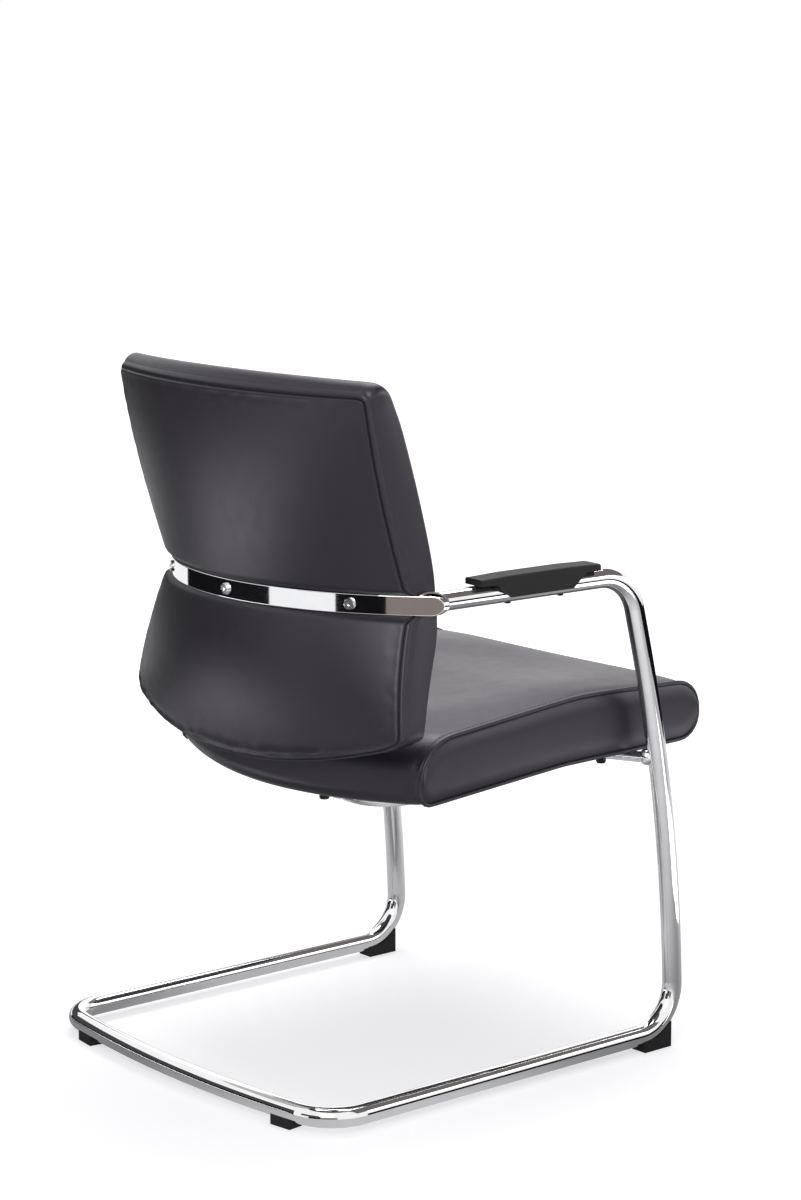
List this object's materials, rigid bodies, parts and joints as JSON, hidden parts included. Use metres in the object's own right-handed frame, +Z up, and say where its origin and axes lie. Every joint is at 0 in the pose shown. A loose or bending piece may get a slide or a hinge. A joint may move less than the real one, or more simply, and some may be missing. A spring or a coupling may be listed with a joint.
{
  "type": "cantilever conference chair",
  "caption": "Cantilever armchair: bent chrome tube frame with arms, a curved metal band carrying a padded leather back, and a padded leather seat on a bent tube support.",
  "frame": {"origin": "centre of the footprint's bounding box, on the floor under the glides", "axes": "+Z up, -Y the way a sitter faces, +X to the sitter's left"},
  "size_m": [0.574, 0.6758, 0.8797],
  "materials": {
    "chrome": "mirror plated",
    "black_leather": "smooth, soft sheen",
    "upholstery_foam": "open foam",
    "moulded_plywood": "raw",
    "black_plastic": "fine grain",
    "screw_steel": "plated",
    "zinc_steel": "zinc plated"
  },
  "bodies": {
    "root": {"frame_tube": "chrome", "back_band": "chrome", "seat_support_tube": "chrome", "back_rear_panel": "black_leather", "back_front_panel": "black_leather", "back_boxing_strip": "black_leather", "back_top_panel": "black_leather", "seat_main_cover": "black_leather", "seat_side_panel_left": "black_leather", "seat_side_panel_right": "black_leather", "seat_piping_left": "black_leather", "seat_piping_right": "black_leather", "back_foam": "upholstery_foam", "back_rear_padding": "upholstery_foam", "seat_foam": "upholstery_foam", "back_board": "moulded_plywood", "seat_board": "moulded_plywood", "arm_pad_left": "black_plastic", "arm_pad_right": "black_plastic", "front_glide_left": "black_plastic", "front_glide_right": "black_plastic", "rear_glide_left": "black_plastic", "rear_glide_right": "black_plastic", "seat_spacer_front_left": "black_plastic", "seat_spacer_front_right": "black_plastic", "seat_spacer_rear_left": "black_plastic", "seat_spacer_rear_right": "black_plastic", "back_screws": "screw_steel", "arm_pad_screws": "screw_steel", "glide_screws": "screw_steel", "seat_bolts": "screw_steel", "back_tee_nuts": "zinc_steel", "seat_tee_nuts": "zinc_steel"}
  },
  "joints": []
}
